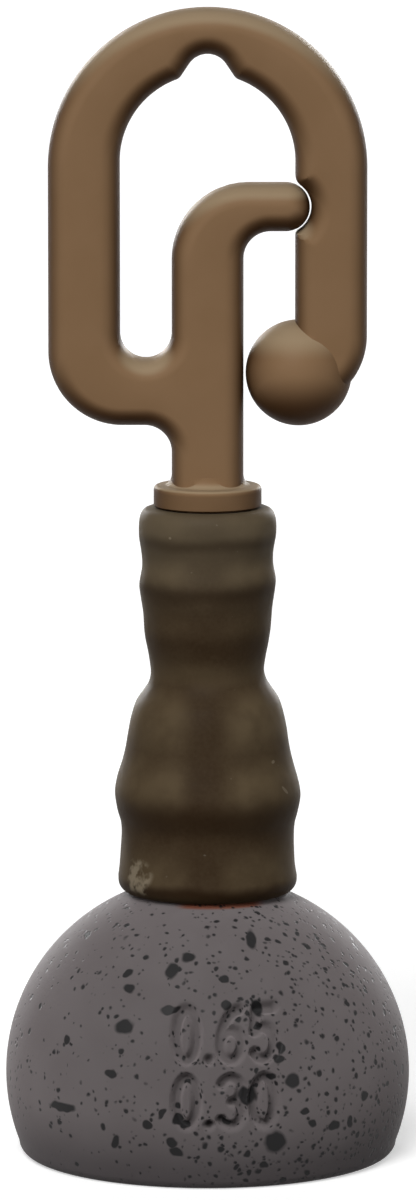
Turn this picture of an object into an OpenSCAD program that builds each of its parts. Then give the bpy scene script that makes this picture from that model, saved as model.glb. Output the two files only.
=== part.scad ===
// Clip-on anchor weight: a lead dome with a flat base, a rubber sleeve over its neck,
// a barrel swivel inside the sleeve, and a moulded clip whose right arm springs open.
// Millimetres. The origin is the middle of the flat base, +Z is up, +X is the gate side.

/* [Lead weight] */
// Widest diameter of the lead weight
weight_d = 39.2; // [36:0.2:48]
// Height of the widest level above the flat base
belly_z = 8; // [4:0.1:10]
// Half height of the whole egg shape that the base cuts short
egg_h = 19; // [17.5:0.1:26]
// Round along the rim of the base
base_round = 0.8; // [0.3:0.1:1.5]
// Diameter of the cast neck under the skirt of the sleeve
neck_d = 13.2; // [12:0.1:15]
// Diameter of the bead that keeps the sleeve on the neck
bead_d = 14.4; // [13.4:0.1:17]
// Height of the bead above the seat of the sleeve
bead_rise = 9.8; // [6:0.1:11]
// Diameter of the neck at its top
neck_top_d = 11.2; // [9:0.1:12]
// Length of the neck above the seat of the sleeve
neck_len = 17.2; // [15:0.1:22]

/* [Rubber sleeve] */
// Wall of the sleeve
sleeve_wall = 1.75; // [1.2:0.05:2.4]
// How far the bottom lip stands out past the skirt
lip_flare = 0.3; // [0:0.05:0.8]
// Round of the bottom lip
lip_round = 1.2; // [0.6:0.1:1.5]
// Bore of the sleeve at its waist
waist_bore = 7.4; // [6.4:0.1:8.4]
// How much shallower the groove between the ribs is than the ribs
rib_groove = 0.3; // [0.1:0.05:0.5]

/* [Wire eye and swivel] */
// Wire of the eye cast into the neck
eye_wire_d = 1.4; // [1:0.1:1.6]
// Clear width inside the cast-in eye
eye_width = 3; // [2.6:0.1:3.6]
// Depth of the legs of the eye in the lead
eye_depth = 13; // [8:0.5:24]
// Length of each foot of the eye
foot_len = 2; // [1:0.1:2.5]
// Wire of the two rings of the swivel
ring_wire_d = 1.2; // [0.8:0.1:1.4]
// Hole of the lower ring
ring_bore = 3; // [2.8:0.1:3.4]
// Diameter of the barrel
barrel_d = 3.8; // [3.4:0.1:4.6]
// Length of the barrel
barrel_len = 4.8; // [4:0.1:5.2]
// Wall of the barrel at its sides and ends
barrel_wall = 0.65; // [0.5:0.05:0.75]
// Diameter of the head that keeps each ring in the barrel
head_d = 2.1; // [1.8:0.05:2.2]
// Thickness of that head
head_t = 0.9; // [0.6:0.1:1]
// Diameter of the cross pin in the spigot
pin_d = 2; // [1.6:0.1:2.2]

/* [Spigot and flange] */
// Diameter of the spigot inside the sleeve
spigot_d = 8.7; // [8.4:0.1:10]
// Diameter of the two collars on the spigot
collar_d = 9.7; // [9.2:0.1:11]
// Height of the top of the sleeve above the swivel barrel
cap_rise = 9.15; // [8.6:0.05:12]
// Length of the spigot below the flange
spigot_len = 11.6; // [11:0.1:13]
// Depth of the upper collar below the flange
upper_collar_drop = 2.1; // [1.8:0.1:2.5]
// Depth of the lower collar below the flange
lower_collar_drop = 7.5; // [6.6:0.1:8]
// Bore of the spigot round the swivel
spigot_bore = 5.5; // [5.3:0.1:5.9]
// Diameter of the flange that caps the sleeve
flange_d = 10.4; // [10:0.1:14]
// Thickness of the flange
flange_t = 2; // [1.4:0.1:3]

/* [Clip] */
// Outer width of the clip
clip_w = 30.6; // [28:0.2:38]
// Height of the clip above the flange
clip_h = 46; // [44:0.1:60]
// Width of the bar, seen from the front
bar_w = 6.9; // [6:0.1:7.4]
// Thickness of the bar, front to back
bar_t = 6.8; // [5.5:0.1:8]
// Round along the edges of the bar
edge_round = 2; // [0.5:0.1:2.2]
// Thickness of the crown above the cord notch
crown_t = 4.4; // [3.8:0.1:5]
// Radius of the top of the cord notch
notch_r = 2.1; // [1.4:0.1:2.4]
// How far the flanks of the notch lean from upright
notch_lean = 34; // [20:1:45]
// Height of the floor of the left slot above the flange
slot_floor = 12.3; // [10:0.1:14]
// Thickness of the bar under the left slot
floor_t = 6.4; // [5.6:0.1:7.4]
// Radius of the lower left corner of the clip
corner_r = 7.1; // [6:0.1:8]
// Fillets where the stem meets the loop and the hook
inside_r = 2.6; // [1.5:0.1:3.2]
// Height of the middle of the hook above the flange
hook_rise = 26.9; // [25:0.1:30]
// Width of the bar of the hook, seen from the front
hook_w = 4.6; // [4.2:0.1:5.2]
// Outer radius of the bend of the hook
hook_bend_r = 7.4; // [6.8:0.1:8]
// How far the tip of the hook reaches into the gate arm
tip_bite = 1.4; // [0.8:0.1:2]

/* [Gate] */
// Diameter of the ball
ball_d = 10.2; // [8:0.1:11]
// Height of the middle of the ball above the flange
ball_rise = 10.9; // [9:0.1:13]
// Height of the end of the straight arm above the middle of the ball
arm_end_rise = 3.6; // [2.8:0.1:4]

/* [Fits] */
// Gap between the hook tip and its recess
tip_gap = 0.25; // [0.15:0.05:0.5]
// Gap between the ball and the stem
ball_gap = 0.2; // [0.15:0.05:0.5]
// Gap round the knuckle of the gate
knuckle_gap = 0.1; // [0.05:0.05:0.2]
// Running clearance of the turning pieces, on the radius
run_fit = 0.05; // [0.03:0.01:0.08]
// Running clearance of the spigot in the sleeve, on the radius
sleeve_fit = 0.1; // [0.05:0.01:0.2]
// Clearance of the still fits, on the radius
still_fit = 0.02; // [0.01:0.01:0.04]
// Gap between the sleeve and the flange
flange_gap = 0.15; // [0.1:0.05:0.4]

/* [Hidden] */
$fn = 64;

lead_grey = "#645c5f";
rubber_brown = "#3c3223";
coyote = "#7e644a";
steel = "#b9bcc0";
brass = "#b89b56";

egg_steps = 30;     // facets up the side of the dome
ease_steps = 6;     // facets along each eased stretch of a profile
round_steps = 4;    // facets round the edge of a bar
least_flat = 0.1;   // half the flat left between two rounds of a bar
past = 1;           // how far a cut runs past the face that it opens
rim_stop = -20;     // angle at which the round of a rim or lip ends, short of upright

// Weight: the seat is where the sleeve stands on the shoulder of the dome
weight_r = weight_d / 2;
neck_r = neck_d / 2;
bead_r = bead_d / 2;
neck_top_r = neck_top_d / 2;
skirt_r = neck_r + sleeve_wall;
seat_step = 0.15;   // the seat stands this far proud of the dome
seat_r = skirt_r + lip_flare - lip_round;
seat_z = egg_z(seat_r) + seat_step;
bead_z = seat_z + bead_rise;
bead_half = 2.6;    // half the length of neck that the bead takes up
neck_top_z = seat_z + neck_len;

// Lower ring, hung in the cast-in eye: the clip tilts about the middle of this ring
ring_rest = 0.4;    // room between the lower ring and the top of the neck
ring_mid_r = (ring_bore + ring_wire_d) / 2;
ring_out_r = ring_mid_r + ring_wire_d / 2;
tilt_z = neck_top_z + ring_rest + ring_out_r;
eye_mid_r = (eye_width + eye_wire_d) / 2;
eye_top_z = tilt_z - (ring_bore - eye_wire_d) / 2 + run_fit;
eye_mid_z = eye_top_z - eye_mid_r;
eye_foot_z = neck_top_z - eye_depth;

// Barrel and upper ring
shank_show = 0.6;   // shank of each ring that shows outside the barrel
shank_r = ring_wire_d / 2;
barrel_z = tilt_z + ring_out_r + shank_show;
barrel_top_z = barrel_z + barrel_len;
pin_play = 0.15;    // room between the pin and the upper ring
pin_r = pin_d / 2;
upper_mid_r = pin_r + pin_play + ring_wire_d / 2;
upper_ring_z = barrel_top_z + shank_show + upper_mid_r + ring_wire_d / 2;
pin_z = upper_ring_z + pin_play - run_fit;

// Sleeve and spigot
sleeve_top_z = barrel_top_z + cap_rise;
flange_z = sleeve_top_z + flange_gap;
clip_z = flange_z + flange_t;
spigot_r = spigot_d / 2;
collar_r = collar_d / 2;
spigot_z = flange_z - spigot_len;
lower_collar_z = flange_z - lower_collar_drop;
upper_collar_z = flange_z - upper_collar_drop;
collar_half = 1.4;  // half the length of spigot that a collar takes up
waist_r = waist_bore / 2 + sleeve_wall;
lip_ease = 0.3;     // straight part above the round of the lip
skirt_rise = 0.6;   // narrowest level of the skirt, above its middle
waist_rise = 1.2;   // narrowest level of the waist, above the tilt
waist_run = 1;      // straight bore above that level
chest_rise = 0.4;   // full width over the spigot, above the foot of the spigot
waist_z = tilt_z + waist_rise;
roof_room = 0.6;    // room over the upper ring in the bore
pin_inset = 0.3;    // the ends of the pin lie this far below the side of the spigot
bore_roof_z = upper_ring_z + upper_mid_r + ring_wire_d / 2 + roof_room;

// Clip, measured from the flange up
stem_r = bar_w / 2;
arch_out_r = clip_w / 2;
arch_in_r = arch_out_r - bar_w;
arch_z = clip_z + clip_h - arch_out_r;
slot_r = (arch_in_r - stem_r) / 2;
slot_x = -stem_r - slot_r;
slot_z = clip_z + slot_floor + slot_r;
loop_floor_z = slot_z - slot_r - floor_t;
hook_z = clip_z + hook_rise;
tip_r = hook_w / 2;
tip_x = arch_in_r + tip_bite - tip_r;
recess_r = tip_r + tip_gap;
ball_r = ball_d / 2;
ball_x = stem_r + ball_gap + ball_r;
ball_z = clip_z + ball_rise;
arm_end_z = ball_z + arm_end_rise;
arm_end_turn = 50;
hinge_z = arch_z + arch_out_r - crown_t / 2;
knuckle_skin = 0.05; // crown left round the knuckle
knuckle_r = crown_t / 2 - knuckle_skin;
knuckle_cut = 0.9;   // the crown stops this far short of the hinge, clear of the turning arm

// Height of the side of the dome at radius r
function egg_z(r) = belly_z + egg_h * sqrt(1 - pow(r / weight_r, 2));

// Points of an arc about (x, y)
function arc(x, y, r, from, to, steps) =
    [for (i = [0:steps]) let (a = from + (to - from) * i / steps) [x + r * cos(a), y + r * sin(a)]];

// Smooth profile through stations of [radius, height]
function eased(stations) = [
    for (k = [0:len(stations) - 2], i = [0:ease_steps - 1])
        let (u = i / ease_steps, a = stations[k], b = stations[k + 1], e = (1 - cos(180 * u)) / 2)
            [a[0] + (b[0] - a[0]) * e, a[1] + (b[1] - a[1]) * u],
    stations[len(stations) - 1]
];

function backwards(points) = [for (i = [len(points) - 1:-1:0]) points[i]];

// Side of the cast neck, grown by a clearance
function neck_side(grow) = eased([
    [neck_r + grow, seat_z],
    [neck_r + grow, bead_z - bead_half],
    [bead_r + grow, bead_z],
    [neck_top_r + grow, neck_top_z]
]);

// Side of the spigot with its two collars, grown by a clearance, up to height top
function spigot_side(grow, top) = eased([
    [spigot_r + grow, spigot_z],
    [spigot_r + grow, lower_collar_z - collar_half],
    [collar_r + grow, lower_collar_z],
    [spigot_r + grow, (lower_collar_z + upper_collar_z) / 2],
    [collar_r + grow, upper_collar_z],
    [spigot_r + grow, top]
]);

// Outside of the sleeve: lip, skirt, bead, waist and the ribs over the collars
function sleeve_side() = concat(
    arc(seat_r, seat_z + lip_round, lip_round, -90, rim_stop, round_steps),
    eased([
        [skirt_r + lip_flare, seat_z + lip_round + lip_ease],
        [skirt_r, (seat_z + bead_z) / 2 + skirt_rise],
        [bead_r + sleeve_wall, bead_z],
        [neck_top_r + sleeve_wall, neck_top_z],
        [waist_r, waist_z],
        [spigot_r + sleeve_wall, spigot_z + chest_rise],
        [collar_r + sleeve_wall, lower_collar_z],
        [collar_r + sleeve_wall - rib_groove, (lower_collar_z + upper_collar_z) / 2],
        [collar_r + sleeve_wall, upper_collar_z],
        [spigot_r + sleeve_wall, sleeve_top_z]
    ])
);

// ---- Weight ----

module wire_shape(grow) {
    wire_r = eye_wire_d / 2 + grow;
    translate([0, 0, eye_mid_z])
        rotate([90, 0, 90])
            rotate_extrude(angle = 180)
                translate([eye_mid_r, 0])
                    circle(r = wire_r);
    for (side = [-1, 1]) {
        translate([0, side * eye_mid_r, eye_foot_z])
            cylinder(r = wire_r, h = eye_mid_z - eye_foot_z);
        translate([0, side * eye_mid_r, eye_foot_z])
            rotate([-90 * side, 0, 0])
                cylinder(r = wire_r, h = foot_len + grow);
        translate([0, side * eye_mid_r, eye_foot_z])
            sphere(r = wire_r);
    }
}

module weight_casting() {
    rim_r = weight_r * sqrt(1 - pow((belly_z - base_round) / egg_h, 2));
    low = asin((base_round - belly_z) / egg_h);
    high = acos(seat_r / weight_r);
    color(lead_grey)
        difference() {
            rotate_extrude()
                polygon(concat(
                    [[0, 0]],
                    arc(rim_r - base_round, base_round, base_round, -90, rim_stop, round_steps),
                    [for (i = [0:egg_steps])
                        let (a = low + (high - low) * i / egg_steps)
                            [weight_r * cos(a), belly_z + egg_h * sin(a)]],
                    [[seat_r, seat_z]],
                    neck_side(0),
                    [[0, neck_top_z]]
                ));
            wire_shape(still_fit);
        }
}

module wire_eye() {
    color(steel) wire_shape(0);
}

module rubber_sleeve() {
    color(rubber_brown)
        rotate_extrude()
            polygon(concat(
                sleeve_side(),
                backwards(concat(
                    neck_side(still_fit),
                    [[waist_bore / 2, tilt_z], [waist_bore / 2, waist_z + waist_run]],
                    spigot_side(sleeve_fit, sleeve_top_z)
                ))
            ));
}

// ---- Swivel ----

module ring(mid_r) {
    rotate([90, 0, 0])
        rotate_extrude()
            translate([mid_r, 0])
                circle(d = ring_wire_d);
}

module swivel_lower_eye() {
    head_z = barrel_z + barrel_wall + run_fit;
    color(steel) {
        translate([0, 0, tilt_z]) ring(ring_mid_r);
        translate([0, 0, tilt_z + ring_mid_r]) cylinder(r = shank_r, h = head_z - tilt_z - ring_mid_r);
        translate([0, 0, head_z]) cylinder(d = head_d, h = head_t);
    }
}

module swivel_barrel() {
    end_r = barrel_d / 2 - barrel_wall;
    color(brass)
        translate([0, 0, barrel_z])
            difference() {
                rotate_extrude()
                    polygon([
                        [0, 0], [end_r, 0], [barrel_d / 2, barrel_wall],
                        [barrel_d / 2, barrel_len - barrel_wall], [end_r, barrel_len], [0, barrel_len]
                    ]);
                translate([0, 0, barrel_wall])
                    cylinder(r = head_d / 2 + run_fit, h = barrel_len - 2 * barrel_wall);
                translate([0, 0, -past])
                    cylinder(r = shank_r + run_fit, h = barrel_len + 2 * past);
            }
}

module swivel_upper_eye() {
    head_top = barrel_top_z - barrel_wall - run_fit;
    color(steel) {
        translate([0, 0, upper_ring_z]) ring(upper_mid_r);
        translate([0, 0, head_top]) cylinder(r = shank_r, h = upper_ring_z - upper_mid_r - head_top);
        translate([0, 0, head_top - head_t]) cylinder(d = head_d, h = head_t);
    }
}

module pin_shape(grow, half_len) {
    translate([0, 0, pin_z])
        rotate([90, 0, 0])
            cylinder(r = pin_r + grow, h = 2 * half_len, center = true);
}

module clip_pin() {
    color(steel) pin_shape(0, spigot_r - pin_inset);
}

// ---- Clip: a rounded bar, run straight or round a bend ----

// Section of a bar of width w, centred, with rounded edges
module bar_section(w) {
    r = min(edge_round, w / 2 - least_flat, bar_t / 2 - least_flat);
    x = w / 2 - r;
    y = bar_t / 2 - r;
    polygon(concat(
        arc(x, y, r, 0, 90, round_steps),
        arc(-x, y, r, 90, 180, round_steps),
        arc(-x, -y, r, 180, 270, round_steps),
        arc(x, -y, r, 270, 360, round_steps)
    ));
}

// Upright stretch of bar centred on x, from z0 up to z1
module run_up(x, z0, z1, w) {
    translate([x, 0, z0])
        linear_extrude(height = z1 - z0)
            bar_section(w);
}

// Level stretch of bar centred on z, from x0 to x1
module run_across(x0, x1, z, w) {
    translate([x0, 0, z])
        rotate([90, 0, 90])
            linear_extrude(height = x1 - x0)
                rotate(90)
                    bar_section(w);
}

// Bend about (x, z) with inner radius r, from one angle to another
module bend(x, z, r, w, from, to) {
    translate([x, 0, z])
        rotate([90, 0, 0])
            rotate_extrude(angle = to - from, start = from)
                translate([r + w / 2, 0])
                    bar_section(w);
}

// Round end of a bar, a disc with rounded edges
module round_end(x, z, w) {
    translate([x, 0, z])
        rotate([90, 0, 0])
            rotate_extrude()
                intersection() {
                    bar_section(w);
                    translate([0, -bar_t]) square([w, 2 * bar_t]);
                }
}

// Plate as thick as the bar, to fill between bends
module web() {
    rotate([90, 0, 0])
        linear_extrude(height = bar_t, center = true)
            children();
}

// The whole crown, from the left arm over to the right arm, with the cord notch
module crown() {
    notch_z = clip_z + clip_h - crown_t - notch_r;
    flank_x = notch_r * cos(notch_lean);
    flank_z = notch_z + notch_r * sin(notch_lean);
    drop = 2 * notch_r;
    mouth_x = flank_x + drop * tan(notch_lean);
    difference() {
        bend(0, arch_z, arch_in_r, bar_w, 0, 180);
        translate([0, 0, notch_z])
            rotate([90, 0, 0])
                cylinder(r = notch_r, h = bar_t + 2 * past, center = true);
        rotate([90, 0, 0])
            linear_extrude(height = bar_t + 2 * past, center = true)
                polygon([
                    [-flank_x, flank_z], [flank_x, flank_z],
                    [mouth_x, flank_z - drop], [-mouth_x, flank_z - drop]
                ]);
    }
}

// Half space on one side of x, as a big box over the crown
module side_of(x, dir) {
    size = 2 * clip_w;
    translate([dir > 0 ? x : x - size, -size / 2, arch_z])
        cube(size);
}

module knuckle(grow) {
    translate([0, 0, hinge_z])
        rotate([90, 0, 0])
            cylinder(r = knuckle_r + grow, h = 2 * bar_t, center = true);
}

module loop_left() {
    arm_x = -arch_in_r - bar_w / 2;
    corner_x = -arch_out_r + corner_r;
    corner_z = loop_floor_z + corner_r;
    difference() {
        intersection() {
            crown();
            side_of(-knuckle_cut, -1);
        }
        knuckle(knuckle_gap);
    }
    run_up(arm_x, corner_z, arch_z, bar_w);
    bend(corner_x, corner_z, corner_r - bar_w, bar_w, 180, 270);
    run_across(corner_x, -stem_r - inside_r, loop_floor_z + floor_t / 2, floor_t);
    bend(slot_x, slot_z, slot_r, floor_t, 180, 360);
}

module stem_and_hook() {
    bend_x = hook_bend_r - stem_r;
    bend_z = hook_z + tip_r - hook_bend_r;
    inner_x = stem_r + inside_r;
    inner_z = hook_z - tip_r - inside_r;
    run_up(0, clip_z, bend_z, bar_w);
    bend(bend_x, bend_z, hook_bend_r - hook_w, hook_w, 90, 180);
    bend(inner_x, inner_z, inside_r, hook_w, 90, 180);
    web()
        difference() {
            translate([bend_x, bend_z]) circle(r = hook_bend_r - edge_round);
            translate([inner_x, inner_z]) circle(r = inside_r + edge_round);
            translate([bend_x, 0]) square(2 * hook_z);
            translate([-hook_z, -past]) square([2 * hook_z, inner_z + past]);
        }
    run_across(bend_x, tip_x, hook_z, hook_w);
    round_end(tip_x, hook_z, hook_w);
    bend(-stem_r - inside_r, loop_floor_z - inside_r, inside_r, hook_w, 0, 90);
}

module spigot() {
    foot_h = 0.9;
    foot_flare = 0.8;
    flange_r = flange_d / 2;
    flange_round = 0.4;
    rotate_extrude()
        polygon(concat(
            [[0, spigot_z]],
            spigot_side(0, flange_z),
            [[flange_r, flange_z], [flange_r, clip_z - flange_round], [flange_r - flange_round, clip_z],
             [stem_r + foot_flare, clip_z], [stem_r, clip_z + foot_h], [0, clip_z + foot_h]]
        ));
}

module clip_body() {
    color(coyote)
        difference() {
            union() {
                loop_left();
                stem_and_hook();
                spigot();
            }
            translate([0, 0, spigot_z - past])
                cylinder(d = spigot_bore, h = bore_roof_z - spigot_z + past);
            pin_shape(still_fit, bar_t);
        }
}

module gate_arm() {
    arm_x = arch_in_r + bar_w / 2;
    color(coyote)
        difference() {
            union() {
                intersection() {
                    crown();
                    side_of(0, 1);
                }
                intersection() {
                    crown();
                    knuckle(0);
                }
                run_up(arm_x, arm_end_z, arch_z, bar_w);
                bend(arch_out_r - corner_r, arm_end_z, corner_r - bar_w, bar_w, -arm_end_turn, 0);
                translate([ball_x, 0, ball_z]) sphere(r = ball_r);
            }
            translate([tip_x, 0, hook_z])
                rotate([90, 0, 0])
                    cylinder(r = recess_r, h = bar_t + 2 * past, center = true);
        }
}

weight_casting();
wire_eye();
rubber_sleeve();
swivel_lower_eye();
swivel_barrel();
swivel_upper_eye();
clip_pin();
clip_body();
gate_arm();
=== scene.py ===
"""Looks of the clip-on anchor weight: cast lead dome, rubber sleeve, swivel and moulded clip.

Shapes are worked out in millimetres and brought to metres by settle().
"""
import math

import bmesh
import bpy
import numpy as np
from mathutils import Matrix, Vector, noise
from mathutils.geometry import delaunay_2d_cdt


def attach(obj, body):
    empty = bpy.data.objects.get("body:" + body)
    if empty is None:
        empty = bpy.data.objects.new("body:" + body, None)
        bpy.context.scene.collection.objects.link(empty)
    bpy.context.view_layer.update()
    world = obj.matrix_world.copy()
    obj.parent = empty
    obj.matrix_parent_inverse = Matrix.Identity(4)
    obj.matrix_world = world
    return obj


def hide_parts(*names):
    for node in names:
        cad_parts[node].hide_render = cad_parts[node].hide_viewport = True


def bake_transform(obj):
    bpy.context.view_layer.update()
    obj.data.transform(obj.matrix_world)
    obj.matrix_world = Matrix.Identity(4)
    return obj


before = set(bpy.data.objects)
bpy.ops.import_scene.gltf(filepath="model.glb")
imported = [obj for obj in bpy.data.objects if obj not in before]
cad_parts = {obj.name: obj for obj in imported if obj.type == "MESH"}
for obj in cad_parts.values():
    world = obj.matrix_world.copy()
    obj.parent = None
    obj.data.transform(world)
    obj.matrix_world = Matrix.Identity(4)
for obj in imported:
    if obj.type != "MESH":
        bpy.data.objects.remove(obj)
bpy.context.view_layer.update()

MM = 0.001
scene = bpy.context.scene

# ---- Camera ----

CAM_X = 0.04
CAM_REACH = 800.1
CAM_HEIGHT = 173.8
AIM_HEIGHT = 54.2
SEEN_HEIGHT = 115.8  # height at the part that fills the picture from bottom to top
SENSOR = 36.0
NEAR_LIMIT = 0.05  # metres


def add_camera():
    lens = bpy.data.cameras.new("camera")
    camera = bpy.data.objects.new("camera", lens)
    scene.collection.objects.link(camera)
    eye = Vector((CAM_X, -CAM_REACH, CAM_HEIGHT))
    aim = Vector((CAM_X, 0, AIM_HEIGHT))
    camera.location = eye * MM
    camera.rotation_euler = (aim - eye).to_track_quat("-Z", "Y").to_euler()
    lens.sensor_fit = "VERTICAL"
    lens.sensor_height = SENSOR
    lens.lens = SENSOR * (aim - eye).length / SEEN_HEIGHT
    lens.clip_start = NEAR_LIMIT
    scene.camera = camera


add_camera()
scene.view_settings.view_transform = "Standard"

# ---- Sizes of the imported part, in millimetres ----

WEIGHT_R = 19.6
BELLY_Z = 8.0
EGG_H = 19.0
BASE_ROUND = 1.4
SEAT_R = 7.45
SEAT_Z = 25.7239
NECK_STATIONS = [(6.6, SEAT_Z), (6.6, SEAT_Z + 7.2), (7.2, SEAT_Z + 9.8), (5.6, SEAT_Z + 17.2)]
TILT_Z = SEAT_Z + 20.3
SLEEVE_TOP_Z = SEAT_Z + 37.55
FLANGE_Z = SLEEVE_TOP_Z + 0.15
CLIP_Z = FLANGE_Z + 2.0
SPIGOT_R = 4.35
SPIGOT_STATIONS = [
    (SPIGOT_R, FLANGE_Z - 11.6), (SPIGOT_R, FLANGE_Z - 8.9), (4.85, FLANGE_Z - 7.5),
    (SPIGOT_R, FLANGE_Z - 4.8), (4.85, FLANGE_Z - 2.1),
]
FLANGE_R = 5.2
FLANGE_ROUND = 0.4
BORE_R = 2.75
BORE_ROOF_Z = SEAT_Z + 34.3
PIN_Z = SEAT_Z + 31.45
PIN_HOLE_R = 1.02
STILL_FIT = 0.02
SLEEVE_FIT = 0.1
WAIST_BORE_R = 3.7
WAIST_RISE = 2.2  # how far the narrow bore runs up from the tilt axis

BAR_T = 6.8
EDGE_ROUND = 2.0
SIDE_HALF = 0.6  # the rounded edge runs on round the side of the bar to this close to its middle
STEM_R = 3.45
CLIP_H = 46.0
ARCH_OUT_R = 15.3
ARCH_IN_R = 8.4
ARCH_Z = CLIP_Z + CLIP_H - ARCH_OUT_R
INNER_Z = ARCH_Z + 0.6  # the inside of the arch sits a little higher than the outside
SLOT_X = -5.925
SLOT_R = 2.475
SLOT_Z = CLIP_Z + 12.3 + SLOT_R
FLOOR_T = 6.4
CORNER_R = 7.1
INSIDE_R = 2.6
HOOK_Z = CLIP_Z + 26.9
HOOK_BEND_R = 7.4
TIP_X = 7.5
TIP_R = 2.3
RECESS_X = 7.3
RECESS_R = 2.65
UPPER_LIP = 1.2
LOWER_LIP = 0.4
BALL_X = 8.75
BALL_Z = CLIP_Z + 10.9
BALL_R = 5.1
ARM_END_Z = BALL_Z + 3.6
ARM_END_TURN = 50
ARM_CUT_POINTS = 13
NOTCH_R = 2.1
NOTCH_Z = CLIP_Z + CLIP_H - 4.4 - NOTCH_R
NOTCH_LEAN = 34  # degrees that the flanks of the notch lean from upright
NOTCH_LIP = 0.9
CROWN_SEAM = 120  # degrees round the crown, where the two skins of the clip meet
STEM_SUNK = 1.0  # how far the stem runs down into the flange

# ---- Mesh helpers ----

MERGE_DIST = 0.0005  # points closer than this are one point
TURN_STEP = 2.5  # degrees between the points of a plain turned ring


def new_piece(name, points, faces):
    mesh = bpy.data.meshes.new(name)
    mesh.from_pydata([tuple(p) for p in points], [], [tuple(f) for f in faces])
    piece = bpy.data.objects.new(name, mesh)
    scene.collection.objects.link(piece)
    return piece


def face_outwards(piece):
    skin = bmesh.new()
    skin.from_mesh(piece.data)
    bmesh.ops.remove_doubles(skin, verts=skin.verts, dist=MERGE_DIST)
    bmesh.ops.recalc_face_normals(skin, faces=skin.faces)
    skin.to_mesh(piece.data)
    skin.free()


def join_or_cut(piece, tool, how):
    """Joins a closed mesh to the piece, or cuts it away, and removes it."""
    step = piece.modifiers.new("step", "BOOLEAN")
    step.object = tool
    step.operation = how
    step.solver = "EXACT"
    graph = bpy.context.evaluated_depsgraph_get()
    made = bpy.data.meshes.new_from_object(piece.evaluated_get(graph))
    piece.modifiers.clear()
    old = piece.data
    piece.data = made
    bpy.data.meshes.remove(old)
    bpy.data.objects.remove(tool)


def settle(piece, material, sharp):
    """Brings a finished piece to metres, with its finish. Edges over sharp degrees stay crisp."""
    face_outwards(piece)
    mesh = piece.data
    mesh.transform(Matrix.Scale(MM, 4))
    mesh.shade_smooth()
    mesh.set_sharp_from_angle(angle=math.radians(sharp))
    mesh.materials.clear()
    mesh.materials.append(material)


def even_angles(step):
    return np.radians(np.arange(-180.0, 180.0, step))


def ring_angles(dense_from, dense_to, dense_step, step):
    """Angles of a turned skin, closer together across its dense front."""
    front = np.arange(dense_from, dense_to, dense_step)
    rest = dense_from + 360 - dense_to
    count = math.ceil(rest / step)
    return np.radians(np.concatenate([front, dense_to + rest * np.arange(count) / count]))


def turned(name, profile, angles, closed=False, shape=None):
    """Skin turned about the upright axis from (radius, height) points.

    A point on the axis becomes a pole. Angle 0 faces the front. shape may move the points.
    """
    points = []
    rings = []
    for radius, height in profile:
        if radius == 0:
            rings.append([len(points)])
            points.append((0, 0, height))
            continue
        ring = np.stack(
            [radius * np.sin(angles), -radius * np.cos(angles), np.full(len(angles), height)], 1
        )
        rings.append(list(range(len(points), len(points) + len(angles))))
        points.extend(ring.tolist())
    points = np.array(points, float)
    if shape:
        points = shape(points)
    faces = []
    pairs = list(zip(rings, rings[1:]))
    if closed:
        pairs.append((rings[-1], rings[0]))
    for low, high in pairs:
        count = max(len(low), len(high))
        for i in range(count):
            j = (i + 1) % count
            if len(low) == 1:
                faces.append((low[0], high[j], high[i]))
            elif len(high) == 1:
                faces.append((low[i], low[j], high[0]))
            else:
                faces.append((low[i], low[j], high[j], high[i]))
    return new_piece(name, points, faces)


def eased(stations, steps=8):
    """Profile that eases from each (radius, height) station to the next."""
    made = []
    for (r0, z0), (r1, z1) in zip(stations, stations[1:]):
        for i in range(steps):
            u = i / steps
            made.append((r0 + (r1 - r0) * (1 - math.cos(math.pi * u)) / 2, z0 + (z1 - z0) * u))
    return made + [stations[-1]]


def quarter(x, z, r, start, stop, steps):
    """Points of an arc in a profile."""
    turns = np.radians(np.linspace(start, stop, steps + 1))
    return [(x + r * math.cos(a), z + r * math.sin(a)) for a in turns]


def flowing(stations, step):
    """Smooth curve through the stations, with points about step apart."""
    p = np.array([stations[0]] + list(stations) + [stations[-1]], float)
    made = []
    for i in range(1, len(p) - 2):
        count = max(1, round(float(np.linalg.norm(p[i + 1] - p[i])) / step))
        for t in np.arange(count) / count:
            made.append(0.5 * (
                2 * p[i] + (p[i + 1] - p[i - 1]) * t
                + (2 * p[i - 1] - 5 * p[i] + 4 * p[i + 1] - p[i + 2]) * t ** 2
                + (3 * p[i] - p[i - 1] - 3 * p[i + 1] + p[i + 2]) * t ** 3
            ))
    return [tuple(q) for q in made] + [tuple(stations[-1])]


def smooth_step(value, low, high):
    t = np.clip((value - low) / (high - low), 0, 1)
    return t * t * (3 - 2 * t)


# ---- Clip plates: an outline of lines and arcs, with rounded edges ----
# Each outline runs anticlockwise, so the plastic is on the left of every stretch.


def line(x0, z0, x1, z1):
    return {"kind": "line", "from": np.array([x0, z0]), "to": np.array([x1, z1])}


def arc(x, z, r, start, stop):
    return {"kind": "arc", "centre": np.array([x, z]), "r": r, "start": start, "stop": stop}


def seam(points):
    """A plain cut that keeps its square edge, through these points."""
    return {"kind": "seam", "points": np.array(points, float)}


def trace(part, inset, step):
    """Points along one stretch, moved inset into the plastic. The last point is left out."""
    if part["kind"] == "seam":
        return part["points"][:-1]
    if part["kind"] == "line":
        along = part["to"] - part["from"]
        length = float(np.linalg.norm(along))
        left = np.array([-along[1], along[0]]) / length
        count = max(1, math.ceil(length / step))
        t = (np.arange(count) / count)[:, None]
        return part["from"] + along * t + left * inset
    turn = math.radians(part["stop"] - part["start"])
    radius = part["r"] - math.copysign(inset, turn)
    count = max(3, math.ceil(part["r"] * abs(turn) / step))
    if radius <= 0:
        return np.zeros((0, 2))
    a = math.radians(part["start"]) + turn * np.arange(count) / count
    return part["centre"] + radius * np.stack([np.cos(a), np.sin(a)], 1)


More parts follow.
